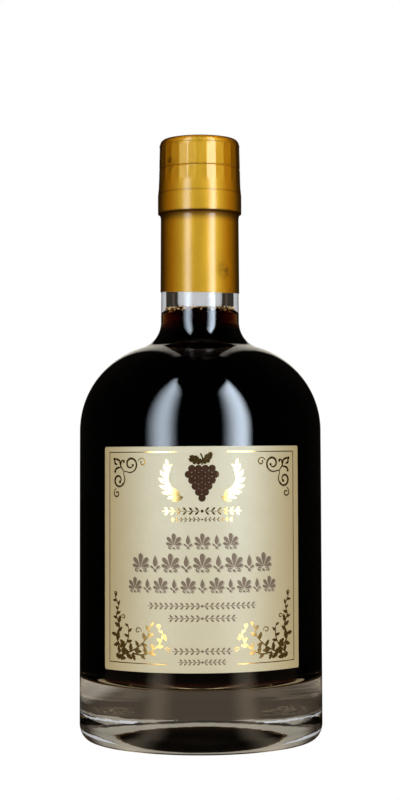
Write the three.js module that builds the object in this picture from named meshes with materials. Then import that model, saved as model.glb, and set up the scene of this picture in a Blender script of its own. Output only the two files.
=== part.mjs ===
// A half-litre bottle of dark vinegar: heavy round glass, a gold capsule over the shut neck and a paper label.
// Millimetres, +Z up, with the origin under the middle of the foot. The label faces -Y.
import * as THREE from "three";

// Driving sizes of the glass
const FOOT_RADIUS = 38;
const HEEL_RADIUS = 41.85;
const HEEL_HEIGHT = 5.5;
const SHOULDER_START = 105.85;
const BODY_TOP_RADIUS = 41.68;
const SHOULDER_ARC = 29.8;
const FLARE_ARC = 9.5;
const NECK_RADIUS = 13.55;
const NECK_TOP_RADIUS = 13.3;
const WALL = 2.8;
const BASE_THICKNESS = 20;
const BASE_RISE = 0.8;
const INNER_CORNER = 12;
const PUNT_RADIUS = 34.5;
const PUNT_RISE = 7.3;
const INNER_FLARE_ARC = 15;
const INNER_NECK_RADIUS = 9.2;
const NARROWING_START = 146.2;
const BORE_RADIUS = 7.8;
const BORE_START = 148.2;

// The ring round the mouth
const RING_RADIUS = 14.3;
const RING_FOOT = 181.2;
const RING_TOP = 188;
const RING_SLOPE = 2.5;
const RING_EDGE = 0.4;
const LIP_HEIGHT = 189.4;
const LIP_ROUND = 0.8;

// What the glass holds and wears
const VINEGAR_LEVEL = 148;
const CAPSULE_FOOT = 153.6;
const CAPSULE_TOP = 206.9;
const CAPSULE_HEAD_FOOT = 190;
const CAPSULE_HEAD_FOOT_RADIUS = 14.22;
const CAPSULE_HEAD_RADIUS = 13.88;
const CAPSULE_EDGE = 2;
const CAPSULE_FILM = 0.16;
const CAPSULE_FOOT_TILT = 0.022;
const CAPSULE_FOOT_LEAN = 0.058;
const LABEL_WIDTH = 72.6;
const LABEL_HEIGHT = 73.3;
const LABEL_FOOT = 27;
const LABEL_THICKNESS = 0.15;
const LABEL_TURN = THREE.MathUtils.degToRad(0.7);
const LABEL_TILT = THREE.MathUtils.degToRad(0.24);

// Clearance between neighbours, and how finely round shapes are cut
const GAP = 0.06;
const LABEL_GAP = 0.1;
const ROUND_STEPS = 60;
const SHOULDER_STEPS = 9;
const FLARE_STEPS = 6;
const CORNER_STEPS = 7;
const PUNT_STEPS = 8;
const NARROWING_STEPS = 8;
const SHALLOW_STEPS = 4;

const QUARTER = Math.PI / 2;
const point = (radius, height) => new THREE.Vector2(radius, height);

// Points along an elliptical arc, both ends included. Angles run from +radius towards +height.
function arc(centre, radiusAcross, radiusUp, from, to, steps) {
  return Array.from({ length: steps + 1 }, (_, i) => {
    const angle = from + ((to - from) * i) / steps;
    return point(
      centre.x + radiusAcross * Math.cos(angle),
      centre.y + radiusUp * Math.sin(angle),
    );
  });
}

// A shallow dome's outline from the axis out to its rim.
function dome(rimRadius, rimHeight, rise, steps) {
  const ball = (rimRadius ** 2 + rise ** 2) / (2 * rise);
  const halfAngle = Math.asin(rimRadius / ball);
  const centre = point(0, rimHeight + rise - ball);
  return arc(centre, ball, ball, QUARTER, QUARTER - halfAngle, steps);
}

// Turns an outline of radius and height about the Z axis.
function turned(outline) {
  return new THREE.LatheGeometry(outline, ROUND_STEPS).rotateX(QUARTER);
}

// The body narrows slightly from its heel to its shoulder.
function bodyRadius(height) {
  const share = (height - HEEL_HEIGHT) / (SHOULDER_START - HEEL_HEIGHT);
  return THREE.MathUtils.lerp(HEEL_RADIUS, BODY_TOP_RADIUS, share);
}

// The shoulder is one arc, and the neck's hollow flare is another that meets it without a corner.
function shoulderOutline(shoulder, flare, neck) {
  const centre = point(BODY_TOP_RADIUS - SHOULDER_ARC, SHOULDER_START);
  const across = neck + flare - centre.x;
  const up = Math.sqrt((shoulder + flare) ** 2 - across ** 2);
  const flareCentre = point(neck + flare, SHOULDER_START + up);
  const meeting = Math.atan2(up, across);
  return [
    ...arc(centre, shoulder, shoulder, 0, meeting, SHOULDER_STEPS),
    ...arc(
      flareCentre,
      flare,
      flare,
      meeting - Math.PI,
      -Math.PI,
      FLARE_STEPS,
    ).slice(1),
  ];
}

const outerShoulder = shoulderOutline(SHOULDER_ARC, FLARE_ARC, NECK_RADIUS);
const neckStart = outerShoulder[outerShoulder.length - 1].y;

function neckRadius(height) {
  const share = (height - neckStart) / (RING_FOOT - neckStart);
  return THREE.MathUtils.lerp(NECK_RADIUS, NECK_TOP_RADIUS, share);
}

// The inside of the glass up to a height in the neck, from the middle of its floor, at a clearance from the wall.
function insideOutline(clearance, height) {
  const depth = WALL + clearance;
  const sideRadius = bodyRadius(BASE_THICKNESS) - depth;
  const corner = INNER_CORNER - clearance;
  const floor = BASE_THICKNESS + clearance;
  const cornerCentre = point(sideRadius - corner, floor + corner);
  const shoulder = shoulderOutline(
    SHOULDER_ARC - depth,
    INNER_FLARE_ARC + clearance,
    INNER_NECK_RADIUS - clearance,
  );
  const start = point(INNER_NECK_RADIUS - clearance, NARROWING_START);
  const narrowing = (share) =>
    point(
      THREE.MathUtils.lerp(
        start.x,
        BORE_RADIUS - clearance,
        THREE.MathUtils.smoothstep(share, 0, 1),
      ),
      THREE.MathUtils.lerp(start.y, BORE_START, share),
    );
  const lastShare = (height - start.y) / (BORE_START - start.y);
  return [
    ...dome(cornerCentre.x, floor, BASE_RISE, SHALLOW_STEPS),
    ...arc(cornerCentre, corner, corner, -QUARTER, 0, CORNER_STEPS).slice(1),
    ...shoulder,
    start,
    ...Array.from({ length: NARROWING_STEPS }, (_, i) =>
      narrowing((lastShare * (i + 1)) / NARROWING_STEPS),
    ),
  ];
}

// The outside of the neck from a height up to the ring's top edge, at a clearance outside the glass. A hollow
// slope runs out under the ring to its blunted edge.
function neckOutline(clearance, from) {
  const slopeFoot = RING_FOOT - RING_SLOPE;
  const slopeRadius = neckRadius(slopeFoot) + clearance;
  const ring = RING_RADIUS + clearance;
  const reach = ring - RING_EDGE - slopeRadius;
  const slope = arc(
    point(slopeRadius + reach, slopeFoot),
    reach,
    RING_SLOPE - RING_EDGE,
    Math.PI,
    QUARTER,
    SHALLOW_STEPS,
  );
  return [
    point(neckRadius(from) + clearance, from),
    ...slope,
    point(ring, RING_FOOT),
    point(ring, RING_TOP),
  ];
}

function bottleOutline() {
  return [
    ...dome(PUNT_RADIUS, 0, PUNT_RISE, PUNT_STEPS),
    ...arc(
      point(FOOT_RADIUS, HEEL_HEIGHT),
      HEEL_RADIUS - FOOT_RADIUS,
      HEEL_HEIGHT,
      -QUARTER,
      0,
      CORNER_STEPS,
    ),
    ...outerShoulder,
    ...neckOutline(0, neckStart).slice(1),
    point(RING_RADIUS - LIP_ROUND, LIP_HEIGHT),
    point(BORE_RADIUS, LIP_HEIGHT),
    ...insideOutline(0, BORE_START).reverse(),
  ];
}

function vinegarOutline() {
  return [...insideOutline(GAP, VINEGAR_LEVEL), point(0, VINEGAR_LEVEL)];
}

// The film hugs the neck and the ring. Above the mouth it is shut, and so it is solid there.
function capsuleOutline() {
  const outside = GAP + CAPSULE_FILM;
  const edgeCentre = point(
    CAPSULE_HEAD_RADIUS - CAPSULE_EDGE,
    CAPSULE_TOP - CAPSULE_EDGE,
  );
  return [
    point(0, LIP_HEIGHT + GAP),
    point(RING_RADIUS - LIP_ROUND + GAP, LIP_HEIGHT + GAP),
    ...neckOutline(GAP, CAPSULE_FOOT).reverse(),
    ...neckOutline(outside, CAPSULE_FOOT),
    point(CAPSULE_HEAD_FOOT_RADIUS, CAPSULE_HEAD_FOOT),
    ...arc(edgeCentre, CAPSULE_EDGE, CAPSULE_EDGE, 0, QUARTER, CORNER_STEPS),
    point(0, CAPSULE_TOP),
  ];
}

function capsuleGeometry() {
  const geometry = turned(capsuleOutline());
  const position = geometry.getAttribute("position");
  // The film's cut edge runs slightly downhill to the right and to the front.
  for (let i = 0; i < position.count; i++) {
    if (Math.abs(position.getZ(i) - CAPSULE_FOOT) < GAP) {
      const side = CAPSULE_FOOT_TILT * position.getX(i);
      const front = CAPSULE_FOOT_LEAN * position.getY(i);
      position.setZ(i, CAPSULE_FOOT - side + front);
    }
  }
  return geometry;
}

// A curved slab that follows the body's slight taper, stuck on a little askew.
function labelGeometry() {
  const radius = bodyRadius(LABEL_FOOT + LABEL_HEIGHT / 2);
  const halfAngle = LABEL_WIDTH / radius / 2;
  const step = (2 * Math.PI) / ROUND_STEPS;
  const first = Math.ceil((LABEL_TURN - halfAngle) / step);
  const last = Math.floor((LABEL_TURN + halfAngle) / step);
  const angles = [
    LABEL_TURN - halfAngle,
    ...Array.from({ length: last - first + 1 }, (_, i) => (first + i) * step),
    LABEL_TURN + halfAngle,
  ];
  const at = (r, angle) =>
    new THREE.Vector2(r * Math.sin(angle), -r * Math.cos(angle));
  const inner = radius + LABEL_GAP;
  const outline = [
    ...angles.map((angle) => at(inner + LABEL_THICKNESS, angle)),
    ...angles.map((angle) => at(inner, angle)).reverse(),
  ];
  const geometry = new THREE.ExtrudeGeometry(new THREE.Shape(outline), {
    depth: LABEL_HEIGHT,
    steps: 1,
    bevelEnabled: false,
  });
  const position = geometry.getAttribute("position");
  for (let i = 0; i < position.count; i++) {
    const height = LABEL_FOOT + position.getZ(i);
    const across = Math.atan2(position.getX(i), -position.getY(i)) - LABEL_TURN;
    const grow = bodyRadius(height) / radius;
    position.setXYZ(
      i,
      position.getX(i) * grow,
      position.getY(i) * grow,
      height + across * radius * Math.tan(LABEL_TILT),
    );
  }
  return geometry;
}

const clearGlass = new THREE.MeshStandardMaterial({
  color: 0xe9eeec,
  roughness: 0.03,
  metalness: 0,
  transparent: true,
  opacity: 0.3,
});
const darkVinegar = new THREE.MeshStandardMaterial({
  color: 0x140502,
  roughness: 0.05,
  metalness: 0,
});
const goldFilm = new THREE.MeshStandardMaterial({
  color: 0xc08c1e,
  roughness: 0.3,
  metalness: 0.9,
});
const creamPaper = new THREE.MeshStandardMaterial({
  color: 0xd3c79c,
  roughness: 0.6,
  metalness: 0,
});

const bottle = new THREE.Group();
const pieces = [
  ["bottle", turned(bottleOutline()), clearGlass],
  ["vinegar", turned(vinegarOutline()), darkVinegar],
  ["capsule", capsuleGeometry(), goldFilm],
  ["label", labelGeometry(), creamPaper],
];
for (const [name, geometry, material] of pieces) {
  const piece = new THREE.Mesh(geometry, material);
  piece.name = name;
  bottle.add(piece);
}

export default bottle;
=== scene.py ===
# A half-litre bottle of dark vinegar: heavy clear glass, a gold foil capsule and a printed paper label.
# Metres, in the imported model's frame. The bottle stands on the origin and its label faces -Y.
from math import asin, atan2, cos, exp, hypot, pi, sin, sqrt, tan
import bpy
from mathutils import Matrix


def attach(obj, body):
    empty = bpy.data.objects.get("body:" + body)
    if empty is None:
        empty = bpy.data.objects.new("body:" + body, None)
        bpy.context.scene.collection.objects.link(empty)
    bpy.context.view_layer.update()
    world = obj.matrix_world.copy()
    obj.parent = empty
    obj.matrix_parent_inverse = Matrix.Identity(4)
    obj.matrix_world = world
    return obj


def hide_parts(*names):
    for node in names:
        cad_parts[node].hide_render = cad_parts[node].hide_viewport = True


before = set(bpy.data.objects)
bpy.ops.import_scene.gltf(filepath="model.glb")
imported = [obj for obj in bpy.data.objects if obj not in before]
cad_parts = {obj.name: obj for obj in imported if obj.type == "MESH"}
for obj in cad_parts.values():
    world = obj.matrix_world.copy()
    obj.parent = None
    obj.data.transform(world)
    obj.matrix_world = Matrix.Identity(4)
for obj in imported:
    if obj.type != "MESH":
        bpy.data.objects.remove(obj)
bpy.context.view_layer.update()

from types import SimpleNamespace

import bmesh
import bpy
from mathutils import Matrix, Vector

MM = 0.001
DEG = pi / 180

# The camera, worked out from the photograph's perspective
CAMERA_DISTANCE = 632.7 * MM
CAMERA_HEIGHT = 98.76 * MM
CAMERA_ASIDE = -0.06 * MM
CAMERA_PITCH = 1.6 * DEG
CAMERA_ROLL = -0.158 * DEG
FOCAL_PIXELS = 1823.7
PHOTO_HEIGHT = 800
SENSOR = 36

# Outside of the glass
FOOT_RADIUS = 38 * MM
HEEL_RADIUS = 41.85 * MM
HEEL_HEIGHT = 5.5 * MM
SHOULDER_START = 105.85 * MM
BODY_TOP_RADIUS = 41.68 * MM
SHOULDER_ARC = 29.8 * MM
FLARE_ARC = 9.5 * MM
NECK_RADIUS = 13.55 * MM
NECK_TOP_RADIUS = 13.3 * MM
PUNT_RADIUS = 34.5 * MM
PUNT_RISE = 7.3 * MM
RING_RADIUS = 14.3 * MM
RING_FOOT = 181.2 * MM
RING_TOP = 188 * MM
RING_SLOPE = 2.5 * MM
RING_EDGE = 0.4 * MM
LIP_HEIGHT = 189.4 * MM
LIP_ROUND = 0.8 * MM

# Inside of the glass, and what it holds
WALL = 2.8 * MM
BASE_THICKNESS = 20 * MM
BASE_RISE = 0.8 * MM
INNER_CORNER = 12 * MM
INNER_FLARE_ARC = 15 * MM
INNER_NECK_RADIUS = 9.2 * MM
NARROWING_START = 146.2 * MM
BORE_RADIUS = 7.8 * MM
BORE_START = 148.2 * MM
VINEGAR_LEVEL = 148 * MM
WETTING = 0.12 * MM
MENISCUS_RISE = 0.25 * MM
MENISCUS_REACH = 0.8 * MM

# How strongly light bends in glass, in vinegar and where vinegar touches glass
GLASS_INDEX = 1.5
VINEGAR_INDEX = 1.34
WETTED_INDEX = 1.08

# Capsule
FILM_GAP = 0.06 * MM
FILM = 0.16 * MM
CAPSULE_FOOT = 153.6 * MM
CAPSULE_FOOT_TILT = 0.022
CAPSULE_FOOT_LEAN = 0.058
CAPSULE_TOP = 206.9 * MM
CAPSULE_HEAD_FOOT = 190 * MM
CAPSULE_HEAD_FOOT_RADIUS = 14.22 * MM
CAPSULE_HEAD_RADIUS = 13.88 * MM
CAPSULE_CREST = 204.6 * MM
CAPSULE_FLAT_RADIUS = 12 * MM
CAPSULE_GROOVE = 196.6 * MM
DENTS = ((-10.7 * MM, -8.9 * MM, 197.3 * MM), (8.6 * MM, -10.5 * MM, 160.5 * MM))
FACETS = 27
FACET_TURN = 3.1 * DEG
FACETS_LOW = 191.2 * MM
FACETS_HIGH = 204.2 * MM

# Label
LABEL_WIDTH = 72.6 * MM
LABEL_HEIGHT = 73.3 * MM
LABEL_FOOT = 27 * MM
LABEL_THICKNESS = 0.15 * MM
LABEL_LIFT = 0.04 * MM
LABEL_CORNER = 0.7 * MM
LABEL_TURN = 0.7 * DEG
LABEL_TILT = 0.24 * DEG
PRINT_THICKNESS = 0.03 * MM

# Sides of a turned piece, and the turn above which an edge stays sharp
SIDES = 240
CRISP = 35 * DEG


def sums(operation):
    """The two methods that let a wire stand first or second in a sum."""

    def first(wire, other):
        return wire.maths(operation, other)

    def second(wire, other):
        return wire.bench.add("ShaderNodeMath", {0: other, 1: wire}, operation=operation)

    return first, second


class Wire:
    """An output socket that takes part in sums as a number does."""

    __add__, __radd__ = sums("ADD")
    __sub__, __rsub__ = sums("SUBTRACT")
    __mul__, __rmul__ = sums("MULTIPLY")
    __truediv__, __rtruediv__ = sums("DIVIDE")

    def __init__(self, bench, socket):
        self.bench = bench
        self.socket = socket

    def out(self, name):
        return Wire(self.bench, self.socket.node.outputs[name])

    def maths(self, operation, *others):
        return self.bench.add("ShaderNodeMath", dict(enumerate((self, *others))), operation=operation)

    def rising(self, low, high):
        """0 below low, 1 above high and smooth between them."""
        limits = {"Value": self, "From Min": low, "From Max": high}
        return self.bench.add("ShaderNodeMapRange", limits, interpolation_type="SMOOTHSTEP")

    def falling(self, low, high):
        return 1 - self.rising(low, high)


class Bench:
    """Where one node tree is put together."""

    def __init__(self, tree):
        self.tree = tree
        tree.nodes.clear()

    def add(self, kind, inputs=None, **settings):
        """Adds a node, sets its settings and then its inputs, and returns its first output."""
        node = self.tree.nodes.new(kind)
        for name, value in settings.items():
            setattr(node, name, value)
        for name, value in (inputs or {}).items():
            self.feed(node.inputs[name], value)
        return Wire(self, node.outputs[0]) if node.outputs else node

    def feed(self, socket, value):
        if isinstance(value, (Wire, list)):
            for wire in value if isinstance(value, list) else [value]:
                self.tree.links.new(wire.socket, socket)
        else:
            socket.default_value = (*value, 1.0) if socket.type == "RGBA" else value

    def of_kind(self, node, kind, *values):
        """Feeds a node's inputs of one kind and returns its output of that kind."""
        for socket, value in zip([s for s in node.inputs if s.type == kind], values):
            self.feed(socket, value)
        return Wire(self, next(s for s in node.outputs if s.type == kind))

    def blend(self, share, first, second):
        """Goes from the first colour to the second as share goes from 0 to 1."""
        node = self.add("ShaderNodeMix", {0: share}, data_type="RGBA").socket.node
        return self.of_kind(node, "RGBA", first, second)

    def chance(self, low, high, seed):
        """A different number between low and high at each point of a Geometry Nodes tree."""
        node = self.add("FunctionNodeRandomValue", {"Seed": seed}, data_type="FLOAT").socket.node
        return self.of_kind(node, "VALUE", low, high)

    def split(self, vector):
        parts = self.add("ShaderNodeSeparateXYZ", {0: vector})
        return [parts.out(axis) for axis in "XYZ"]

    def join(self, x, y, z):
        return self.add("ShaderNodeCombineXYZ", {0: x, 1: y, 2: z})

    def place(self):
        return self.add("ShaderNodeTexCoord").out("Object")

    def height(self):
        return self.split(self.place())[2]

    def near(self, point, reach):
        """1 at a point and 0 beyond its reach."""
        apart = self.add("ShaderNodeVectorMath", {0: self.place(), 1: point}, operation="DISTANCE")
        return apart.out("Value").falling(0.0, reach)

    def noise(self, scale, detail=2.0, stretch=(1, 1, 1)):
        where = self.add("ShaderNodeMapping", {"Vector": self.place(), "Scale": stretch})
        return self.add("ShaderNodeTexNoise", {"Vector": where, "Scale": scale, "Detail": detail})

    def slant(self):
        """0 where a surface is seen straight on and 1 where it's seen edge on."""
        return self.add("ShaderNodeLayerWeight", {"Blend": 0.5}).out("Facing")

    def mirrored(self):
        """1 for what a reflection shows."""
        return self.add("ShaderNodeLightPath").out("Glossy Depth").rising(0.0, 1.0)

    def moved(self, geometry, x, y, z):
        return self.add("GeometryNodeSetPosition", {"Geometry": geometry, "Position": self.join(x, y, z)})

    def copies(self, thing, points, size, turn=0.0):
        """A copy of a thing on each point, turned about Y."""
        turned_by = self.join(0.0, turn, 0.0)
        scale = self.join(size, size, size)
        inputs = {"Points": points, "Instance": thing, "Rotation": turned_by, "Scale": scale}
        return self.add("GeometryNodeInstanceOnPoints", inputs)


def finish(name, settings, surface=None, bumps=None, volume=None):
    """A Principled material. Surface works out what varies over the piece, and bumps its relief."""
    material = bpy.data.materials.new(name)
    material.use_nodes = True
    bench = Bench(material.node_tree)
    inputs = dict(settings)
    if surface:
        inputs.update(surface(bench))
    if bumps:
        height, strength, distance = bumps(bench)
        relief = {"Height": height, "Strength": strength, "Distance": distance}
        inputs["Normal"] = bench.add("ShaderNodeBump", relief)
    output = {"Surface": bench.add("ShaderNodeBsdfPrincipled", inputs)}
    if volume:
        output["Volume"] = bench.add("ShaderNodeVolumeAbsorption", volume)
    bench.add("ShaderNodeOutputMaterial", output)
    return material


# Materials

def see_through(index, tint=(1, 1, 1)):
    return {"Base Color": tint, "Roughness": 0.0, "IOR": index, "Transmission Weight": 1.0}


def clear_glass():
    """Flint glass with faint waves in it, and with the mould's ripples round its thick base."""

    def waves(bench):
        ripples = bench.height().falling(8 * MM, 20 * MM) * bench.noise(70, 3.0, (1, 1, 5)) * 2.0
        return bench.noise(55, 2.0, (1, 1, 1.8)) + ripples, 0.5, 0.05 * MM

    return finish("clear_glass", see_through(GLASS_INDEX, (0.985, 0.99, 0.985)), bumps=waves)


def wetted_glass():
    """The inside of the wall where vinegar touches it. Its index is that of glass over vinegar."""
    return finish("wetted_glass", see_through(WETTED_INDEX))


def vinegar(name, index):
    """Absorbs nearly everything: black where it's deep, red and then amber where it's thin."""
    return finish(name, see_through(index), volume={"Color": (0.68, 0.457, 0.04), "Density": 980.0})


def froth():
    """Bubbles with painted glints: they glow cream in spots and dark amber elsewhere."""

    def painted_glints(bench):
        # Painted glints: glowing light, not lit by any lamp.
        sparkle = bench.noise(1900, 1.0).rising(0.48, 0.6)
        return {"Emission Color": bench.blend(sparkle, (0.09, 0.03, 0.004), (0.78, 0.62, 0.36))}

    settings = {"Base Color": (0.5, 0.3, 0.1), "Roughness": 0.1, "Emission Strength": 1.0}
    return finish("froth", settings, surface=painted_glints)


def gold_film():
    """Lacquered gold foil, a little mottled and dented, with a fine grain. Painted light turns it orange
    where it's seen at a slant, and painted shade darkens its rims, the slope under the ring, its grooves
    and its dents, and what reflections show of it."""

    def tone(bench):
        mottle = bench.noise(240, 4.0, (1, 1, 0.35)).rising(0.3, 0.7)
        gold = bench.blend(mottle, (0.325, 0.168, 0.008), (0.37, 0.192, 0.01))
        # Painted light by slant: orange where the foil is seen at a slant, then painted shade towards its
        # rims.
        slant = bench.slant()
        gold = bench.blend(slant.rising(0.1, 0.34), gold, (0.6, 0.212, 0.001))
        gold = bench.blend(slant.rising(0.38, 0.72) * 0.75, gold, (0.04, 0.015, 0.002))
        height = bench.height()
        # Painted shade on the slope under the ring, in the two grooves and, mottled, in the dents.
        painted_shade = height.rising(RING_FOOT - 4.2 * MM, RING_FOOT - 1.0 * MM)
        painted_shade = painted_shade * height.falling(RING_FOOT - 0.2 * MM, RING_FOOT + 0.5 * MM) * 0.85
        for groove, share in ((RING_TOP, 0.5), (CAPSULE_GROOVE, 0.1)):
            groove_shade = height.rising(groove - 0.5 * MM, groove) * height.falling(groove, groove + 0.5 * MM)
            painted_shade = painted_shade + groove_shade * share
        dent_shade = bench.near(DENTS[0], 3.6 * MM) + bench.near(DENTS[1], 4.0 * MM)
        painted_shade = painted_shade + dent_shade * bench.noise(500, 3.0).rising(0.42, 0.58) * 0.8
        gold = bench.blend(painted_shade, gold, (0.09, 0.03, 0.001))
        # Seen in a reflection the foil is painted almost black: painted shade.
        return {"Base Color": bench.blend(bench.mirrored(), gold, (0.02, 0.006, 0.001))}

    def relief(bench):
        dents = bench.near(DENTS[0], 3.2 * MM) + bench.near(DENTS[1], 3.6 * MM)
        return bench.noise(3600, 2.0) * 0.05 - dents * bench.noise(700, 2.0), 1.0, 0.4 * MM

    lacquer = {"Coat Weight": 0.52, "Coat IOR": 1.5, "Coat Roughness": 0.13}
    return finish("gold_film", {"Metallic": 0.92, "Roughness": 0.54, **lacquer}, surface=tone, bumps=relief)


def film_inside():
    """The bare inner side of the capsule's film. Its pale glow through the empty part of the neck is painted
    light, and in reflections it's painted dark.
    """

    def glow(bench):
        # Painted light: a pale glow for what the camera sees through glass, painted dark in reflections.
        shown = bench.blend(bench.mirrored(), (0.5, 0.515, 0.54), (0.01, 0.005, 0.002))
        return {"Emission Color": shown}

    settings = {"Base Color": (0.8, 0.8, 0.82), "Roughness": 0.6, "Emission Strength": 1.0}
    return finish("film_inside", settings, surface=glow)


def label_paper():
    """Cream coated paper with soft clouds and fine flecks in it."""

    def tone(bench):
        cloud = bench.noise(160, 5.0).rising(0.3, 0.7)
        fleck = bench.noise(2200, 2.0).rising(0.35, 0.75)
        base = bench.blend(cloud, (0.555, 0.53, 0.385), (0.59, 0.565, 0.415))
        # Painted sheen and shade: paler in the middle, darker and yellower where the body turns away.
        base = bench.blend(bench.slant().rising(0.0, 0.42), base, (0.54, 0.43, 0.215))
        low = bench.height().falling(LABEL_FOOT, LABEL_FOOT + 0.7 * LABEL_HEIGHT)
        base = bench.blend(low * 0.4, base, (0.54, 0.45, 0.25))
        return {"Base Color": bench.blend(fleck * 0.3, base, (0.5, 0.43, 0.25))}

    def fibres(bench):
        return bench.noise(1500, 3.0), 0.2, 0.03 * MM

    return finish("label_paper", {"Roughness": 0.48}, surface=tone, bumps=fibres)


def stamped_foil():
    def wear(bench):
        return {"Roughness": 0.12 + bench.noise(900, 2.0) * 0.12}

    return finish("stamped_foil", {"Base Color": (0.8, 0.52, 0.17), "Metallic": 1.0}, surface=wear)


def printing_ink(name, colour, pale, gloss=0.5):
    def coverage(bench):
        speckle = bench.noise(2600, 3.0).rising(0.35, 0.8)
        return {"Base Color": bench.blend(speckle, colour, pale)}

    return finish(name, {"Roughness": 0.55, "Specular IOR Level": gloss}, surface=coverage)


# Turned pieces: an outline is a list of radius and height

def arc(centre, across, up, start, end, steps):
    turns = [start + (end - start) * i / steps for i in range(steps + 1)]
    return [(centre[0] + across * cos(t), centre[1] + up * sin(t)) for t in turns]


def straight(start, end, steps):
    """The points after start on the way to end, with end among them."""
    shares = [(i + 1) / steps for i in range(steps)]
    return [tuple(a + (b - a) * share for a, b in zip(start, end)) for share in shares]


def dome(rim_radius, rim_height, rise, steps):
    ball = (rim_radius**2 + rise**2) / (2 * rise)
    half = asin(rim_radius / ball)
    centre = (0, rim_height + rise - ball)
    return arc(centre, ball, ball, pi / 2, pi / 2 - half, steps)


def body_radius(height):
    share = (height - HEEL_HEIGHT) / (SHOULDER_START - HEEL_HEIGHT)
    return HEEL_RADIUS + (BODY_TOP_RADIUS - HEEL_RADIUS) * share


def shoulder(shoulder_arc, flare_arc, neck):
    """The shoulder's arc and the neck's hollow flare, which meets it without a corner."""
    centre = (BODY_TOP_RADIUS - SHOULDER_ARC, SHOULDER_START)
    across = neck + flare_arc - centre[0]
    up = sqrt((shoulder_arc + flare_arc) ** 2 - across**2)
    meeting = atan2(up, across)
    flare_centre = (neck + flare_arc, SHOULDER_START + up)
    return [
        *arc(centre, shoulder_arc, shoulder_arc, 0, meeting, 44),
        *arc(flare_centre, flare_arc, flare_arc, meeting - pi, -pi, 28)[1:],
    ]


OUTER_SHOULDER = shoulder(SHOULDER_ARC, FLARE_ARC, NECK_RADIUS)
NECK_START = OUTER_SHOULDER[-1][1]


def neck_radius(height):
    share = (height - NECK_START) / (RING_FOOT - NECK_START)
    return NECK_RADIUS + (NECK_TOP_RADIUS - NECK_RADIUS) * share


def inside(clearance, height):
    """The inside of the glass from the middle of its floor up to a height in the neck."""
    depth = WALL + clearance
    side = body_radius(BASE_THICKNESS) - depth
    corner = INNER_CORNER - clearance
    floor = BASE_THICKNESS + clearance
    corner_centre = (side - corner, floor + corner)
    upper = shoulder(SHOULDER_ARC - depth, INNER_FLARE_ARC + clearance, INNER_NECK_RADIUS - clearance)
    start = (INNER_NECK_RADIUS - clearance, NARROWING_START)
    steps = 14
    last_share = (height - start[1]) / (BORE_START - start[1])
    narrowing = []
    for i in range(steps):
        share = last_share * (i + 1) / steps
        eased = share * share * (3 - 2 * share)
        radius = start[0] + (BORE_RADIUS - clearance - start[0]) * eased
        narrowing.append((radius, start[1] + (BORE_START - start[1]) * share))
    side_foot = arc(corner_centre, corner, corner, -pi / 2, 0, 16)
    return [
        *dome(corner_centre[0], floor, BASE_RISE, 24),
        *side_foot[1:],
        *straight(side_foot[-1], upper[0], 40),
        *upper[1:],
        start,
        *narrowing,
    ]


def neck_outside(clearance, start):
    """From a height on the neck up to the top edge of the ring, at a clearance outside the glass."""
    slope_foot = (neck_radius(RING_FOOT - RING_SLOPE) + clearance, RING_FOOT - RING_SLOPE)
    ring = RING_RADIUS + clearance
    reach = ring - RING_EDGE - slope_foot[0]
    up = RING_SLOPE - RING_EDGE
    bottom = (neck_radius(start) + clearance, start)
    return [
        bottom,
        *straight(bottom, slope_foot, 24),
        *arc((slope_foot[0] + reach, slope_foot[1]), reach, up, pi, pi / 2, 8)[1:],
        *arc((ring - RING_EDGE, RING_FOOT), RING_EDGE, RING_EDGE, -pi / 2, 0, 6)[1:],
        *straight((ring, RING_FOOT), (ring, RING_TOP), 8),
    ]


def glass_outline():
    heel = arc((FOOT_RADIUS, HEEL_HEIGHT), HEEL_RADIUS - FOOT_RADIUS, HEEL_HEIGHT, -pi / 2, 0, 18)
    return [
        *dome(PUNT_RADIUS, 0, PUNT_RISE, 30),
        *heel,
        *straight(heel[-1], OUTER_SHOULDER[0], 50),
        *OUTER_SHOULDER[1:],
        *neck_outside(0, NECK_START)[1:],
        (RING_RADIUS - LIP_ROUND, LIP_HEIGHT),
        (BORE_RADIUS, LIP_HEIGHT),
        *straight((BORE_RADIUS, LIP_HEIGHT), (BORE_RADIUS, BORE_START), 20),
        *inside(0, BORE_START)[::-1][1:],
    ]


def vinegar_outline():
    """Reaches just into the wall, with a surface that climbs the glass a little."""
    wall = inside(-WETTING, VINEGAR_LEVEL + MENISCUS_RISE)
    rim = wall[-1][0]
    surface = []
    steps = 26
    for i in range(steps):
        radius = rim * (1 - ((i + 1) / steps) ** 1.5)
        climb = MENISCUS_RISE * exp(-(rim - radius) / MENISCUS_REACH)
        surface.append((radius, VINEGAR_LEVEL + climb))
    return [*wall, *surface]


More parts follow.
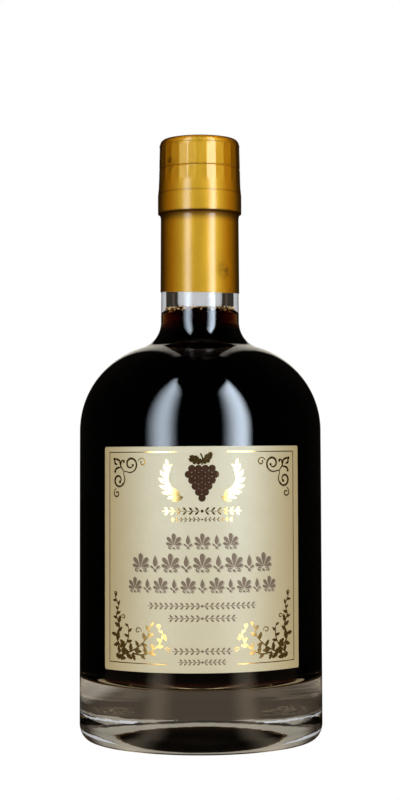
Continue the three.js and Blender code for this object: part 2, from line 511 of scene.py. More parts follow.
def capsule_outline():
    """Film hugs the neck and the ring. Above the mouth the capsule is shut and solid."""
    outside = FILM_GAP + FILM
    bead = 0.12 * MM
    groove = 0.16 * MM
    groove_half = 0.35 * MM
    seam_half = 0.4 * MM
    ring_top = (RING_RADIUS + outside, RING_TOP - seam_half)
    head_foot = (CAPSULE_HEAD_FOOT_RADIUS, CAPSULE_HEAD_FOOT)
    crest = (CAPSULE_HEAD_RADIUS, CAPSULE_CREST)
    share = (CAPSULE_GROOVE - head_foot[1]) / (crest[1] - head_foot[1])
    groove_radius = head_foot[0] + (crest[0] - head_foot[0]) * share
    below = (groove_radius, CAPSULE_GROOVE - groove_half)
    above = (groove_radius, CAPSULE_GROOVE + groove_half)
    return [
        (0, LIP_HEIGHT + FILM_GAP),
        (RING_RADIUS - LIP_ROUND + FILM_GAP, LIP_HEIGHT + FILM_GAP),
        *neck_outside(FILM_GAP, CAPSULE_FOOT)[::-1],
        *neck_outside(outside, CAPSULE_FOOT)[:-1],
        ring_top,
        (ring_top[0] - groove * 0.85, RING_TOP),
        (ring_top[0] - groove * 0.7, RING_TOP + seam_half),
        head_foot,
        *straight(head_foot, below, 16),
        (groove_radius - groove, CAPSULE_GROOVE),
        above,
        *straight(above, crest, 20),
        *arc((crest[0] - bead, crest[1] + bead), bead * 1.6, bead, -pi / 5, pi / 2, 6),
        *arc(
            (CAPSULE_FLAT_RADIUS, CAPSULE_CREST + 2 * bead),
            crest[0] - bead - CAPSULE_FLAT_RADIUS,
            CAPSULE_TOP - CAPSULE_CREST - 2 * bead,
            0.12,
            pi / 2,
            12,
        ),
        *straight((CAPSULE_FLAT_RADIUS, CAPSULE_TOP), (0, CAPSULE_TOP), 8),
    ]


# Geometry Nodes: trees that make what repeats or follows a surface

def geometry_tree(name, numbers="", wholes="", things=""):
    """A tree with a mesh, a material and the named numbers, whole numbers and objects as its inputs."""
    tree = bpy.data.node_groups.new(name, "GeometryNodeTree")
    kinds = {"Geometry": "Geometry", "Material": "Material"}
    for kind, names in (("Float", numbers), ("Int", wholes), ("Object", things)):
        kinds.update(dict.fromkeys(names.split(), kind))
    for size, kind in kinds.items():
        tree.interface.new_socket(size, in_out="INPUT", socket_type="NodeSocket" + kind)
    tree.interface.new_socket("Geometry", in_out="OUTPUT", socket_type="NodeSocketGeometry")
    bench = Bench(tree)
    given = bench.add("NodeGroupInput")
    return bench, SimpleNamespace(**{size.lower(): given.out(size) for size in kinds})


def close_tree(bench, geometry, material):
    """Ends a tree the way every piece needs it."""
    real = bench.add("GeometryNodeRealizeInstances", {"Geometry": geometry})
    painted = bench.add("GeometryNodeSetMaterial", {"Geometry": real, "Material": material})
    bench.add("NodeGroupOutput", {0: painted})
    return bench.tree


def lathe_tree():
    """Turns loose points of radius (X) and height (Z) about the Z axis, with a face between neighbours."""
    bench, given = geometry_tree("turned_on_the_lathe", wholes="Points Sides")
    size = {"Vertices X": given.sides + 1, "Vertices Y": given.points}
    grid = bench.add("GeometryNodeMeshGrid", size)
    index = bench.add("GeometryNodeInputIndex")
    row = index.maths("MODULO", given.points)
    column = (index / given.points).maths("FLOOR")
    place = bench.add("GeometryNodeInputPosition")
    source = {"Geometry": given.geometry, "Value": place, "Index": row}
    outline = bench.add("GeometryNodeSampleIndex", source, data_type="FLOAT_VECTOR")
    radius, _, height = bench.split(outline)
    angle = column * (2 * pi) / given.sides
    round_grid = bench.moved(grid, radius * angle.maths("COSINE"), radius * angle.maths("SINE"), height)
    closed = bench.add("GeometryNodeMergeByDistance", {"Geometry": round_grid, "Distance": 0.002 * MM})
    return close_tree(bench, closed, given.material)


def facet_tree():
    """Flattens a turned piece into facets between two heights. The facets' edges keep its radius."""
    bench, given = geometry_tree("flattened_in_facets", numbers="Facets Turn Low High")
    low, high = given.low, given.high
    x, y, z = bench.split(bench.add("GeometryNodeInputPosition"))
    step = (2 * pi) / given.facets
    angle = x.maths("ARCTAN2", 0 - y) - given.turn + 2 * pi
    off_middle = (angle / step + 0.5).maths("FRACT") * step - step * 0.5
    flat = (step * 0.5).maths("COSINE") / off_middle.maths("COSINE")
    share = z.rising(low, low + 1.2 * MM) * z.falling(high - 0.3 * MM, high)
    shrink = 1 - share * (1 - flat)
    return close_tree(bench, bench.moved(given.geometry, x * shrink, y * shrink, z), given.material)


def label_tree():
    """Gives flat work its thickness and wraps it round the body. Flat work has X across and Z up."""
    bench, given = geometry_tree("wrapped_on_the_body", numbers="Thickness Lift Radius Taper Foot Turn Tilt")
    flat = given.geometry
    push = {"Mesh": flat, "Offset": (0, -1, 0), "Offset Scale": given.thickness, "Individual": False}
    front = bench.add("GeometryNodeExtrudeMesh", push, mode="FACES")
    back = bench.add("GeometryNodeFlipFaces", {"Mesh": flat})
    slab = bench.add("GeometryNodeJoinGeometry", {"Geometry": [front, back]})
    whole = bench.add("GeometryNodeMergeByDistance", {"Geometry": slab, "Distance": 0.001 * MM})
    across, depth, up = bench.split(bench.add("GeometryNodeInputPosition"))
    angle = across / given.radius + given.turn
    height = up + given.foot + across * given.tilt
    radius = given.radius - height * given.taper + given.lift - depth
    bent = bench.moved(whole, radius * angle.maths("SINE"), 0 - radius * angle.maths("COSINE"), height)
    return close_tree(bench, bent, given.material)


def froth_tree():
    """Sows bubbles of uneven size in a ring where the vinegar meets the glass."""
    bench, given = geometry_tree(
        "froth_on_the_waterline", numbers="Ring Height Smallest Largest Spread", wholes="Count Seed"
    )
    ring = bench.add("GeometryNodeMeshCircle", {"Vertices": given.count, "Radius": 1.0})
    x, y, _ = bench.split(bench.add("GeometryNodeInputPosition"))
    size = bench.chance(0.0, 1.0, given.seed)
    size = given.smallest + (given.largest - given.smallest) * size * size
    reach = given.ring + size * bench.chance(-0.5, 0.5, given.seed + 1)
    level = given.height + given.spread * bench.chance(-1.0, 1.0, given.seed + 2)
    sown = bench.moved(ring, x * reach, y * reach, level)
    ball = bench.add("GeometryNodeMeshIcoSphere", {"Radius": 1.0, "Subdivisions": 2})
    bubbles = bench.add("GeometryNodeRealizeInstances", {"Geometry": bench.copies(ball, sown, size)})
    rounded = bench.add("GeometryNodeSetShadeSmooth", {"Geometry": bubbles})
    return close_tree(bench, rounded, given.material)


def spray_tree():
    """Sets leaves along a stem, turned to alternate sides and smaller towards its tip."""
    bench, given = geometry_tree(
        "leaves_on_a_stem", numbers="Spacing Spread Size Tip Uneven", wholes="Seed", things="Leaf"
    )
    stem = bench.add("GeometryNodeMeshToCurve", {"Mesh": given.geometry})
    cut = {"Curve": stem, "Length": given.spacing}
    points = bench.add("GeometryNodeResampleCurve", cut, mode="LENGTH")
    along_x, _, along_z = bench.split(bench.add("GeometryNodeInputTangent"))
    side = bench.add("GeometryNodeInputIndex").maths("MODULO", 2.0) * 2 - 1
    swing = 1 + given.uneven * bench.chance(-1.0, 1.0, given.seed + 3)
    heading = along_z.maths("ARCTAN2", along_x) + side * given.spread * swing
    share = bench.add("GeometryNodeSplineParameter").out("Factor")
    size = given.size + (given.tip - given.size) * share
    size = size * (1 + given.uneven * bench.chance(-0.5, 0.5, given.seed + 5))
    leaf = bench.add("GeometryNodeObjectInfo", {"Object": given.leaf}).out("Geometry")
    return close_tree(bench, bench.copies(leaf, points, size, 0 - heading), given.material)


def frieze_tree():
    """Repeats a motif along a row, from the middle of its first copy."""
    bench, given = geometry_tree(
        "frieze", numbers="First Step Height Scale", wholes="Count", things="Motif"
    )
    start = bench.join(given.first, 0.0, given.height)
    offset = bench.join(given.step, 0.0, 0.0)
    row = {"Count": given.count, "Start Location": start, "Offset": offset}
    line = bench.add("GeometryNodeMeshLine", row)
    motif = bench.add("GeometryNodeObjectInfo", {"Object": given.motif}).out("Geometry")
    return close_tree(bench, bench.copies(motif, line, given.scale), given.material)


def add_object(name, data):
    made = bpy.data.objects.new(name, data)
    bpy.context.scene.collection.objects.link(made)
    return made


def mesh_of(name, points, edges=(), faces=()):
    mesh = bpy.data.meshes.new(name)
    mesh.from_pydata(points, edges, faces)
    return mesh


def made_by(tree, name, start, **sizes):
    """Runs a tree on a start mesh, with its inputs set, and returns the plain mesh that it makes."""
    worker = add_object(name + "_worker", start)
    maker = worker.modifiers.new(tree.name, "NODES")
    maker.node_group = tree
    for item in tree.interface.items_tree:
        if item.in_out == "INPUT" and item.name in sizes:
            maker[item.identifier] = sizes[item.name]
    seen = worker.evaluated_get(bpy.context.evaluated_depsgraph_get())
    mesh = bpy.data.meshes.new_from_object(seen)
    mesh.name = name
    for index in range(len(mesh.materials) - 1, -1, -1):
        if mesh.materials[index] is None:
            mesh.materials.pop(index=index)
    worker.modifiers.remove(maker)
    bpy.data.objects.remove(worker)
    return mesh


def paint_where(mesh, material, belongs):
    """Gives the faces that belong another material."""
    mesh.materials.append(material)
    for face in mesh.polygons:
        if belongs(face):
            face.material_index = len(mesh.materials) - 1


def faces_axis(face):
    return face.normal.x * face.center.x + face.normal.y * face.center.y < 0


def put(name, mesh, slot, *nodes):
    """Adds a finished piece to the scene, on the bottle's one body."""
    piece = add_object(name, mesh)
    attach(piece, "root")
    if nodes:
        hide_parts(*nodes)


def smooth(mesh, crisp):
    """Shades a mesh smooth but for the edges that turn by more than crisp."""
    mesh.shade_smooth()
    mesh.set_sharp_from_angle(angle=crisp)


def turned(name, outline, material, sides=SIDES):
    points = mesh_of(name, [(radius, 0, height) for radius, height in outline])
    mesh = made_by(LATHE, name, points, Points=len(outline), Sides=sides, Material=material)
    work = bmesh.new()
    work.from_mesh(mesh)
    bmesh.ops.dissolve_degenerate(work, edges=work.edges, dist=0.0005 * MM)
    bmesh.ops.recalc_face_normals(work, faces=work.faces)
    work.to_mesh(mesh)
    work.free()
    smooth(mesh, CRISP)
    return mesh


# Flat work for the label, in millimetres: X across and Z up from the middle of the label's foot, facing -Y

# Distance between the cuts that let flat work bend
SLICE = 1.2


class Sheet:
    """Flat shapes gathered in one mesh."""

    def __init__(self):
        self.work = bmesh.new()

    def shape(self, points):
        self.work.faces.new([self.work.verts.new((x, 0, z)) for x, z in points])

    def ribbon(self, points, widths):
        """A stroke along points, as wide at each as widths says."""
        sides = []
        for i, (x, z) in enumerate(points):
            before = points[max(i - 1, 0)]
            after = points[min(i + 1, len(points) - 1)]
            run = hypot(after[0] - before[0], after[1] - before[1])
            across = (-(after[1] - before[1]) / run, (after[0] - before[0]) / run)
            edges = [(x + across[0] * r, 0, z + across[1] * r) for r in (widths[i] / 2, -widths[i] / 2)]
            sides.append([self.work.verts.new(edge) for edge in edges])
        for (a, b), (c, d) in zip(sides, sides[1:]):
            self.work.faces.new((a, b, d, c))

    def stroke(self, points, ends, middle, berry=0.0):
        """A ribbon that swells from its ends to its middle. It may end in a berry."""
        last = len(points) - 1
        self.ribbon(points, [ends + (middle - ends) * sin(pi * i / last) for i in range(last + 1)])
        if berry:
            self.dot(*points[-1], berry)

    def dot(self, x, z, radius, tall=1.0, steps=14):
        self.shape(arc((x, z), radius, radius * tall, 0, 2 * pi, steps)[:-1])

    def petal(self, x, z, turn, long, half, belly=1.5, tip=0.8, steps=12):
        """A petal that starts at a point and is broadest near its tip, which is round where tip is 0.5."""
        turned_x, turned_z = cos(turn), sin(turn)
        halves = [half * sin(pi * (i / steps) ** belly) ** tip for i in range(1, steps)]
        edge = [(long * (i + 1) / steps, wide) for i, wide in enumerate(halves)]
        edge = [(0, 0), *edge, (long, 0), *[(along, -wide) for along, wide in edge[::-1]]]
        self.shape([(x + a * turned_x - b * turned_z, z + a * turned_z + b * turned_x) for a, b in edge])

    def ring(self, x, z, radius, thick, steps=16):
        widths = [thick * (0.65 + 0.35 * abs(cos(2 * pi * i / steps))) for i in range(steps + 1)]
        self.ribbon(arc((x, z), radius, radius, 0, 2 * pi, steps), widths)

    def take(self, mesh, mirrored=False, shift=(0, 0)):
        """Adds a flat mesh, and may mirror it left to right."""
        copy = mesh.copy()
        flip = Matrix.Scale(-1 if mirrored else 1, 4, (1, 0, 0))
        copy.transform(Matrix.Translation((shift[0], 0, shift[1])) @ flip)
        self.work.from_mesh(copy)

    def mesh(self, name, sliced=False):
        """The flat mesh, facing -Y. Sliced work is cut upright so that it bends with the body."""
        bmesh.ops.triangulate(self.work, faces=self.work.faces)
        reach = round(LABEL_WIDTH / MM / 2 / SLICE) + 1
        for i in range(-reach, reach + 1) if sliced else ():
            parts = [*self.work.verts, *self.work.edges, *self.work.faces]
            plane = {"plane_co": (i * SLICE, 0, 0), "plane_no": (1, 0, 0)}
            bmesh.ops.bisect_plane(self.work, geom=parts, dist=0.0001, **plane)
        for face in self.work.faces:
            face.normal_update()
            if face.normal.y > 0:
                face.normal_flip()
        made = bpy.data.meshes.new(name)
        self.work.to_mesh(made)
        self.work.free()
        return made

    def motif(self, name):
        """An object that trees copy. It's never shown."""
        return bpy.data.objects.new(name, self.mesh(name))


def between(a, b, c, d, t):
    """A share t of a smooth course from b to c, with a before them and d after."""
    bend = 2 * a - 5 * b + 4 * c - d
    swing = 3 * (b - c) + d - a
    return 0.5 * (2 * b + (c - a) * t + bend * t**2 + swing * t**3)


def flowing(knots, steps=8):
    """A smooth line through given knots."""
    points = []
    for i in range(len(knots) - 1):
        before = knots[max(i - 1, 0)]
        after = knots[min(i + 2, len(knots) - 1)]
        rows = list(zip(before, knots[i], knots[i + 1], after))
        points += [tuple(between(*row, step / steps) for row in rows) for step in range(steps)]
    return [*points, tuple(knots[-1])]


def volute(centre, outer, inner, start, turn, tall=1.0, steps=30):
    """A curl that winds in from its outer radius to its eye."""
    points = []
    for i in range(steps + 1):
        share = i / steps
        radius = outer + (inner - outer) * share**0.8
        angle = start + turn * share
        points.append((centre[0] + radius * cos(angle), centre[1] + radius * tall * sin(angle)))
    return points


# Motifs, one unit tall or long

def lobed_leaf():
    """A leaf along +X with three lobes a side and a curled tip."""
    sheet = Sheet()
    upper = []
    lower = []
    steps = 26
    for i in range(steps + 1):
        t = i / steps
        lobes = 0.62 + 0.38 * abs(sin(3 * pi * t + 0.35))
        half = 0.34 * sin(pi * t**0.8) ** 0.8 * lobes if 0 < t < 1 else 0.0
        bend = 0.22 * t * t
        upper.append((t, bend + half))
        lower.append((t, bend - half * 0.85))
    sheet.shape([*lower, *upper[-2:0:-1]])
    return sheet.motif("lobed_leaf")


def laurel_leaf():
    """A leaf along +X, plain and pointed."""
    sheet = Sheet()
    steps = 14
    halves = [0.2 * sin(pi * (i / steps) ** 0.85) for i in range(steps + 1)]
    lower = [(i / steps, -halves[i]) for i in range(steps + 1)]
    upper = [(i / steps, halves[i]) for i in range(steps - 1, 0, -1)]
    sheet.shape([*lower, *upper])
    return sheet.motif("laurel_leaf")


def palmette():
    """Five round-ended petals that fan out over two curls."""
    sheet = Sheet()
    for turn, long, half in ((0, 0.72, 0.125), (38, 0.63, 0.11), (76, 0.47, 0.09)):
        for side in (-1, 1) if turn else (1,):
            sheet.petal(0.02 * side * bool(turn), -0.22, (90 - side * turn) * DEG, long, half, 2.2, 0.5)
    for side in (-1, 1):
        curl = [(side * x, z) for x, z in volute((0.22, -0.37), 0.14, 0.03, 2.6, -6.4, 0.8, 20)]
        sheet.stroke(curl, 0.035, 0.075)
    sheet.dot(0, -0.4, 0.07)
    return sheet.motif("palmette")


def pointed_bud():
    """A pointed bud over two small leaves."""
    sheet = Sheet()
    sheet.petal(0, 0.42, -90 * DEG, 0.62, 0.12)
    for side in (-1, 1):
        sheet.petal(0, -0.34, (90 - side * 52) * DEG, 0.34, 0.055)
    sheet.dot(0, -0.38, 0.075)
    return sheet.motif("pointed_bud")


def leaf_pair():
    """Two leaves on a piece of stem that runs along +X."""
    sheet = Sheet()
    sheet.ribbon([(-0.45, 0), (0.45, 0)], [0.08, 0.08])
    for side in (-1, 1):
        sheet.petal(-0.35, 0, side * 42 * DEG, 0.72, 0.13)
    return sheet.motif("leaf_pair")


# The label's print

BORDER_SIDE = 33.75
BORDER_FOOT = 2.75
BORDER_TOP = 71.5
BORDER_WIDTH = 0.3
BORDER_GAP = 8.4
BORDER_FOOT_GAP = 11.8

SCROLL_THIN = 0.3
SCROLL_THICK = 0.72

# The vine's stems: knots, size of the first leaf and the last, spacing and seed
VINE_STEMS = (
    ([(-28.5, 7.5), (-30.6, 11), (-29.3, 14.5), (-30.6, 18), (-29.8, 21), (-31.2, 24.2)], 2.8, 1.5, 1.45, 3),
    ([(-30.8, 5.0), (-27.5, 7.6), (-25.6, 11), (-25.6, 14.6)], 2.9, 1.9, 1.6, 8),
    ([(-29.5, 4.8), (-25.5, 6.2), (-21.6, 8.2), (-18.4, 11.4), (-17.4, 15.0)], 3.0, 1.9, 1.6, 5),
    ([(-24, 6.0), (-20, 5.6), (-16.4, 7.2), (-13.8, 9.8), (-13.0, 13.0)], 2.7, 1.5, 1.6, 11),
)

# The vine's tendrils: middle, outer radius, and the angles where they start and through which they turn
TENDRILS = (
    ((-31.2, 25.2), 0.9, -1.4, 5.6),
    ((-27.6, 17.6), 1.0, 3.6, -6.0),
    ((-21.8, 13.4), 1.3, -0.4, 6.0),
    ((-14.6, 15.0), 0.9, -1.6, 6.0),
    ((-11.2, 7.4), 1.0, 3.0, -6.0),
    ((-12.2, 11.0), 0.8, 2.6, -6.0),
)

# Grapes in each row of the bunch
GRAPES = (4, 5, 4, 3, 2, 1)
GRAPE_PITCH = 2.2
GRAPES_TOP = 66.1

# Rows of ornament: height on the label, width, height of the motif and how many
TITLE_ROWS = ((42.5, 18.6, 5.4, 3), (35.5, 41.7, 6.4, 5), (28.3, 46.0, 5.3, 6))
SMALL_ROWS = ((21.6, 34.6, 2.3, 20), (17.6, 21.0, 2.3, 12), (7.0, 17.8, 2.3, 10), (3.5, 14.4, 2.0, 10))
FOIL_ROWS = ((52.3, 24.0, 2.5, 12), (49.6, 19.4, 1.5, 14))


def stamp_border(sheet):
    """A thin rule round the label that stops short of the middle at the top and the foot."""
    for side in (-1, 1):
        x = side * BORDER_SIDE
        line = [
            (side * BORDER_GAP, BORDER_TOP),
            (x, BORDER_TOP),
            (x, BORDER_FOOT),
            (side * BORDER_FOOT_GAP, BORDER_FOOT),
        ]
        for (x0, z0), (x1, z1) in zip(line, line[1:]):
            half = BORDER_WIDTH / 2
            left, right = min(x0, x1) - half, max(x0, x1) + half
            low, high = min(z0, z1) - half, max(z0, z1) + half
            sheet.shape([(left, low), (right, low), (right, high), (left, high)])


def corner_scroll():
    """The scrolls in the label's upper left corner."""
    sheet = Sheet()
    thin, thick = SCROLL_THIN, SCROLL_THICK
    across = volute((-24.6, 67.6), 3.0, 0.9, -2.3, 8.2, 1.0, 44)
    sheet.stroke([(-27.6, 65.6), (-27.2, 65.2), *across[1:]], thin, thick, 0.45)
    down = volute((-29.6, 62.4), 2.9, 0.8, 0.9, -8.0, 1.0, 44)
    sheet.stroke([(-27.4, 65.6), *down[1:]], thin, thick, 0.5)
    for centre, start, turn in (((-20.2, 68.2), 2.9, -6.6), ((-30.4, 58.0), 1.7, 6.8)):
        sheet.stroke(volute(centre, 1.6, 0.45, start, turn, 1.0, 26), thin * 0.9, thick * 0.7, 0.3)
    stalk = flowing([(-27.6, 65.6), (-28.7, 66.9), (-28.4, 68.6), (-27.5, 68.9)])
    sheet.stroke(stalk, thin, thick * 0.8)
    for knots in (
        [(-28.7, 66.6), (-30.0, 66.4), (-31.0, 65.9), (-31.3, 65.3)],
        [(-28.9, 67.3), (-29.2, 68.6), (-30.3, 69.2), (-31.4, 69.3)],
        [(-31.3, 69.2), (-31.3, 67.9), (-30.2, 67.5)],
    ):
        sheet.stroke(flowing(knots), thin, thick)
    sheet.dot(-27.4, 68.5, 0.42, 1.3)
    for x, z, radius in ((-31.2, 65.2, 0.48), (-31.6, 69.3, 0.5), (-22.5, 66.6, 0.4), (-27.9, 61.0, 0.4)):
        sheet.dot(x, z, radius)
    return sheet.mesh("corner_scroll")


def leaves_along(line, leaf, material, **sizes):
    pieces = [(i, i + 1) for i in range(len(line) - 1)]
    stem = mesh_of("stem", [(x, 0, z) for x, z in line], pieces)
    return made_by(SPRAY, "leaves", stem, Leaf=leaf, Material=material, **sizes)


def corner_vine(leaf, material):
    """The leafy growth in the label's lower left corner: one stem up the side and three along the foot."""
    sheet = Sheet()
    for knots, size, tip, spacing, seed in VINE_STEMS:
        line = flowing(knots)
        sheet.ribbon(line, [0.6 - 0.3 * i / len(line) for i in range(len(line))])
        sheet.take(leaves_along(
            line, leaf, material, Spacing=spacing, Spread=0.95, Size=size, Tip=tip, Uneven=0.35, Seed=seed
        ))
    for centre, outer, start, turn in TENDRILS:
        sheet.stroke(volute(centre, outer, outer * 0.3, start, turn, 1.0, 22), 0.16, 0.38, 0.26)
    return sheet.mesh("corner_vine")


def grapes():
    for row, count in enumerate(GRAPES):
        for i in range(count):
            yield (i - (count - 1) / 2) * GRAPE_PITCH, GRAPES_TOP - row * GRAPE_PITCH * 0.87


def emblem(leaf, laurel, material):
    """The stamped rims of the grapes, a vine leaf over them and two laurel sprays round them."""
    sheet = Sheet()
    for x, z in grapes():
        sheet.ring(x, z, 0.8, 0.14)
    for side in (-1, 1):
        twig = [(0, 68.0), (side * 0.9, 68.6)]
        sheet.take(leaves_along(
            twig, leaf, material, Spacing=2.0, Spread=0.1 * side, Size=4.6, Tip=3.6, Uneven=0.0, Seed=1
        ))
    stalk = flowing([(0, 67.2), (0.2, 69.4), (-0.5, 71.0)])
    sheet.ribbon(stalk, [0.5] * len(stalk))
    spine = flowing([(6.2, 56.8), (9.2, 57.8), (11.6, 60.2), (12.3, 63.4), (11.2, 67.0)])
    spray = leaves_along(
        spine, laurel, material, Spacing=0.95, Spread=0.6, Size=3.7, Tip=2.3, Uneven=0.05, Seed=2
    )
    for side in (-1, 1):
        sheet.ribbon([(side * x, z) for x, z in spine], [0.4] * len(spine))
        sheet.take(spray, mirrored=side < 0)
    return sheet.mesh("emblem")


def row_of(motif, material, **sizes):
    return made_by(FRIEZE, "row", bpy.data.meshes.new("row_start"), Motif=motif, Material=material, **sizes)


def title_rows(sheet, petals, bud, material, shift=(0, 0)):
    """Palmettes with a bud in each gap."""
    for height, width, tall, count in TITLE_ROWS:
        step = width / (count - 1)
        for motif, first, number in ((petals, -width / 2, count), (bud, (step - width) / 2, count - 1)):
            row = row_of(motif, material, First=first, Step=step, Height=height, Scale=tall, Count=number)
            sheet.take(row, shift=shift)


def garlands(sheet, pair, material, rows):
    """Rows of leaf pairs that run outwards from a berry in the middle."""
    for height, width, tall, count in rows:
        step = width / count
        first = step * 0.9
        half = row_of(pair, material, First=first, Step=step, Height=height, Scale=tall, Count=count // 2)
        sheet.take(half)
        sheet.take(half, mirrored=True)
        sheet.dot(0, height, tall * 0.2)


def paper_blank():
    """The label's outline with its corners a little rounded."""
    corner = LABEL_CORNER / MM
    half = LABEL_WIDTH / MM / 2 - corner
    top = LABEL_HEIGHT / MM - corner
    points = []
    for quarter, (x, z) in enumerate(((half, top), (-half, top), (-half, corner), (half, corner))):
        start = quarter * pi / 2
        points += arc((x, z), corner, corner, start, start + pi / 2, 5)
    sheet = Sheet()
    sheet.shape(points)
    return sheet


# Pieces

def make_bottle():
    mesh = turned("bottle_glass", glass_outline(), clear_glass())

    def wetted(face):
        height = face.center.z
        inside_wall = faces_axis(face) or (face.normal.z > 0.5 and height < SHOULDER_START)
        return inside_wall and BASE_THICKNESS - BASE_RISE < height < VINEGAR_LEVEL + MENISCUS_RISE

    paint_where(mesh, wetted_glass(), wetted)
    put("bottle_glass", mesh, "clear_glass", "bottle")


def make_vinegar():
    # The wetted wall bends the light already, so the sides only let it in. The open surface bends it.
    mesh = turned("vinegar_fill", vinegar_outline(), vinegar("dark_vinegar", 1.0))
    surface = vinegar("vinegar_surface", VINEGAR_INDEX)
    paint_where(mesh, surface, lambda face: face.center.z > VINEGAR_LEVEL and face.normal.z > 0.5)
    put("vinegar_fill", mesh, "dark_vinegar", "vinegar")


def make_froth():
    """Bubbles pressed into the wall just under the surface."""
    start = bpy.data.meshes.new("froth_start")
    where = {"Ring": inside(0, VINEGAR_LEVEL)[-1][0], "Height": VINEGAR_LEVEL - 0.1 * MM, "Spread": 0.7 * MM}
    bubbles = {"Count": 260, "Smallest": 0.08 * MM, "Largest": 0.3 * MM, "Seed": 4}
    mesh = made_by(froth_tree(), "waterline_froth", start, Material=froth(), **where, **bubbles)
    put("waterline_froth", mesh, "dark_vinegar")


def make_capsule():
    film = gold_film()
    plain = turned("gold_capsule", capsule_outline(), film, sides=FACETS * 10)
    sizes = {"Facets": float(FACETS), "Turn": FACET_TURN, "Low": FACETS_LOW, "High": FACETS_HIGH}
    mesh = made_by(facet_tree(), "gold_capsule", plain, Material=film, **sizes)
    for vertex in mesh.vertices:
        if abs(vertex.co.z - CAPSULE_FOOT) < 0.01 * MM:
            vertex.co.z += CAPSULE_FOOT_LEAN * vertex.co.y - CAPSULE_FOOT_TILT * vertex.co.x
    paint_where(mesh, film_inside(), lambda face: faces_axis(face) and face.center.z < LIP_HEIGHT)
    smooth(mesh, CRISP)
    put("gold_capsule", mesh, "gold_film", "capsule")


def lay(name, sheet, material, thickness, lift, slot, *nodes):
    """Wraps a sheet of flat work round the body, at a lift off the glass, as a piece of its own."""
    flat = sheet.mesh(name + "_flat", sliced=True)
    flat.transform(Matrix.Scale(MM, 4))
    taper = (HEEL_RADIUS - BODY_TOP_RADIUS) / (SHOULDER_START - HEEL_HEIGHT)
    body = {"Radius": HEEL_RADIUS, "Taper": taper}
    where = {"Lift": lift, "Foot": LABEL_FOOT, "Turn": LABEL_TURN, "Tilt": tan(LABEL_TILT)}
    mesh = made_by(WRAP, name, flat, Thickness=thickness, Material=material, **body, **where)
    smooth(mesh, 30 * DEG)
    put(name, mesh, slot, *nodes)


def make_label():
    lay("label_sheet", paper_blank(), label_paper(), LABEL_THICKNESS, LABEL_LIFT, "label_paper", "label")
    surface = LABEL_LIFT + LABEL_THICKNESS
    under = surface - PRINT_THICKNESS * 0.4
    leaf = lobed_leaf()
    petals = palmette()
    bud = pointed_bud()
    pair = leaf_pair()

    stamped = stamped_foil()
    foil = Sheet()
    stamp_border(foil)
    for art in (corner_scroll(), corner_vine(leaf, stamped)):
        foil.take(art)
        foil.take(art, mirrored=True)
    foil.take(emblem(leaf, laurel_leaf(), stamped))
    garlands(foil, pair, stamped, FOIL_ROWS)
    lay("label_foil", foil, stamped, PRINT_THICKNESS, surface, "gold_film")

    dark = printing_ink("brown_ink", (0.115, 0.072, 0.035), (0.18, 0.12, 0.06))
    ink = Sheet()
    title_rows(ink, petals, bud, dark)
    garlands(ink, pair, dark, SMALL_ROWS)
    lay("label_ink", ink, dark, PRINT_THICKNESS, surface, "label_paper")

    pale = printing_ink("pale_ink", (0.34, 0.29, 0.2), (0.43, 0.38, 0.27))
    shade = Sheet()
    title_rows(shade, petals, bud, pale, shift=(0.4, -0.3))
    lay("label_shade", shade, pale, PRINT_THICKNESS, under, "label_paper")

    deep = printing_ink("deep_ink", (0.03, 0.01, 0.004), (0.055, 0.022, 0.009), 0.08)
    ground = Sheet()
    for x, z in grapes():
        ground.dot(x, z, 1.22)
    lay("label_ground", ground, deep, PRINT_THICKNESS, under, "label_paper")


# Studio

def make_camera():
    data = bpy.data.cameras.new("camera")
    data.sensor_width = SENSOR
    data.lens = FOCAL_PIXELS / PHOTO_HEIGHT * SENSOR
    data.clip_start = 10 * MM
    camera = add_object("camera", data)
    camera.matrix_world = (
        Matrix.Translation((CAMERA_ASIDE, -CAMERA_DISTANCE, CAMERA_HEIGHT))
        @ Matrix.Rotation(pi / 2 + CAMERA_PITCH, 4, "X")
        @ Matrix.Rotation(CAMERA_ROLL, 4, "Z")
    )
    bpy.context.scene.camera = camera
    bpy.context.scene.view_settings.view_transform = "Standard"


def make_world():
    """White to the camera. Glass sees a lit backdrop behind the bottle and a dark room round it."""
    world = bpy.data.worlds.new("studio")
    bpy.context.scene.world = world
    world.use_nodes = True
    bench = Bench(world.node_tree)
    path = bench.add("ShaderNodeLightPath")
    x, y, z = bench.split(bench.add("ShaderNodeTexCoord").out("Generated"))
    aside = x.maths("ABSOLUTE")
    behind = y.rising(-0.02, 0.02)
    window = aside.falling(0.15, 0.21) * behind * z.rising(-0.02, 0.03) * z.falling(0.87, 0.91)
    reflected = bench.blend(window, (0.008, 0.007, 0.006), (0.85, 0.79, 0.68))
    backdrop = behind * aside.falling(0.6, 0.85) * z.falling(0.6, 0.75)
    through = bench.blend(backdrop, (0.012, 0.01, 0.008), (0.33, 0.3, 0.245))
    mirrored = bench.mirrored()
    stripe = aside.rising(0.58, 0.64) * aside.falling(0.76, 0.82)
    shade = bench.blend(stripe, (0.035, 0.03, 0.024), (0.088, 0.07, 0.052))
    through = bench.blend(mirrored * z.falling(0.2, 0.3), through, shade)
    horizon = (1 - mirrored) * behind * z.rising(0.04, 0.06) * z.falling(0.12, 0.15)
    through = bench.blend(horizon, through, (0.62, 0.63, 0.66))
    seen = bench.blend(path.out("Is Transmission Ray"), reflected, through)
    seen = bench.blend(path.out("Is Diffuse Ray"), seen, (0.2, 0.2, 0.2))
    seen = bench.blend(path.out("Is Camera Ray"), seen, (1, 1, 1))
    light = bench.add("ShaderNodeBackground", {"Color": seen})
    bench.add("ShaderNodeOutputWorld", {"Surface": light})


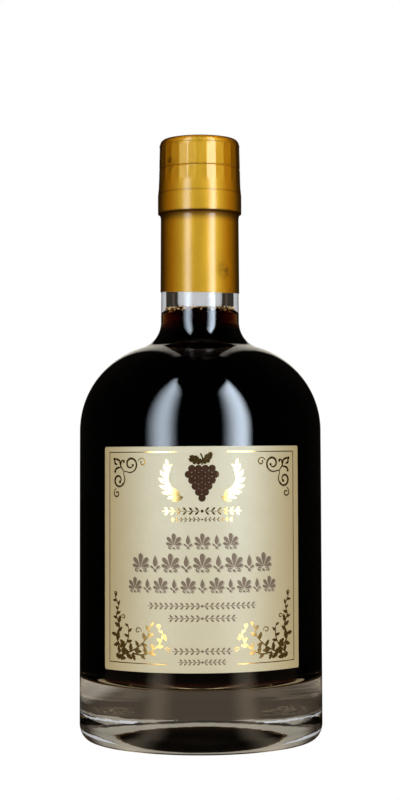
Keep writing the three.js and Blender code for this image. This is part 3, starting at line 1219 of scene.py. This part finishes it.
def make_floor():
    """Pale to the camera. What reaches it by way of the bottle finds a dark table that glows, with painted
    light on it: lighter streaks, two pools of light in front and lit ends behind, with the bottle's
    painted shadow between those ends and painted shade behind the bottle in reflections."""
    material = bpy.data.materials.new("floor")
    material.use_nodes = True
    bench = Bench(material.node_tree)
    path = bench.add("ShaderNodeLightPath")
    x, y, _ = bench.split(bench.place())
    turn = x.maths("ARCTAN2", 0 - y)
    # Painted pools of light on the table in front, towards each panel.
    left = turn.rising(-50 * DEG, -36 * DEG) * turn.falling(-36 * DEG, -20 * DEG)
    right = turn.rising(22 * DEG, 38 * DEG) * turn.falling(38 * DEG, 52 * DEG)
    through = path.out("Is Transmission Ray")
    behind = y.rising(0.0, 0.03)
    # Painted light on the table's ends behind the bottle, with the bottle's painted shadow left between
    # them.
    lit = behind * through * (x.rising(36 * MM, 62 * MM) + x.falling(-90 * MM, -45 * MM) * 0.3)
    # Seen in a reflection the table behind the bottle is painted nearly black: painted shade.
    table = bench.blend(behind * (1 - through), (0.064, 0.05, 0.036), (0.005, 0.004, 0.003))
    table = bench.blend(lit, table, (0.32, 0.285, 0.235))
    aside = x.maths("ABSOLUTE")
    # Painted streaks of light on the table behind the bottle.
    light_streaks = aside.rising(5 * MM, 9 * MM) * aside.falling(22 * MM, 30 * MM) * y.rising(64 * MM, 74 * MM)
    light_streaks = light_streaks * y.falling(84 * MM, 94 * MM) * bench.noise(90, 3.0, (1, 8, 1)).rising(0.48, 0.62)
    table = bench.blend(light_streaks * through, table, (0.17, 0.135, 0.09))
    table = bench.blend(left + right, table, (1.2, 0.98, 0.72))
    pale = bench.add("ShaderNodeEmission", {"Color": (1, 1, 1)})
    table = bench.add("ShaderNodeEmission", {"Color": table})
    shown = bench.add("ShaderNodeMixShader", {0: path.out("Is Camera Ray"), 1: table, 2: pale})
    bench.add("ShaderNodeOutputMaterial", {"Surface": shown})
    reach = 3.0
    low = -0.3 * MM
    corners = [(x * reach, y * reach, low) for x, y in ((-1, -1), (1, -1), (1, 1), (-1, 1))]
    mesh = mesh_of("floor", corners, faces=[(0, 1, 2, 3)])
    mesh.materials.append(material)
    floor = add_object("floor", mesh)


def hang(name, data, place, outwards, *unseen_by):
    """Hangs a light that shines against the outwards direction. Some rays never see it."""
    lamp = add_object(name, data)
    facing = Vector(outwards).to_track_quat("Z", "Y").to_matrix().to_4x4()
    lamp.matrix_world = Matrix.Translation(place) @ facing
    for ray in unseen_by:
        setattr(lamp, "visible_" + ray, False)


def softbox(name, turn, half_width, radiance, crest, lean):
    """A tall soft panel beside the camera, turned from the camera's direction. Its glow is strongest at
    the crest, a share of the width from the inner edge, and the inner edge leans outwards at the top."""
    distance = 0.75
    high = 1.95
    data = bpy.data.lights.new(name, "AREA")
    data.shape = "RECTANGLE"
    data.size = 2 * distance * tan(half_width)
    data.size_y = high
    data.energy = radiance * 4 * data.size * data.size_y
    data.use_nodes = True
    bench = Bench(data.node_tree)
    across, up, _ = bench.split(bench.add("ShaderNodeNewGeometry").out("Parametric"))
    across = across if turn > 0 else 1 - across
    inner = up.rising(0.42, 0.9) * lean
    glow = across.rising(inner, inner * 0.5 + crest) * across.falling(crest, 1.0) * up.falling(0.84, 1.0)
    light = bench.add("ShaderNodeEmission", {"Color": (0.74, 0.86, 1.0), "Strength": glow})
    bench.add("ShaderNodeOutputLight", {"Surface": light})
    x = distance * sin(turn)
    y = -distance * cos(turn)
    hang(name, data, (x, y, high / 2), (x, y, 0), "camera", "diffuse", "transmission")


def make_lights():
    softbox("left_panel", -36 * DEG, 17 * DEG, 9.8, 0.45, 0.58)
    softbox("right_panel", 34.2 * DEG, 15.8 * DEG, 14.8, 0.66, 0.85)
    fill = bpy.data.lights.new("front_fill", "AREA")
    fill.size = 1.2
    fill.energy = 27.6
    place = (0.06, -1.6, 0.7)
    hang("front_fill", fill, place, place, "camera", "glossy", "transmission")


make_camera()
LATHE = lathe_tree()
WRAP = label_tree()
SPRAY = spray_tree()
FRIEZE = frieze_tree()
make_bottle()
make_vinegar()
make_froth()
make_capsule()
make_label()
make_world()
make_floor()
make_lights()
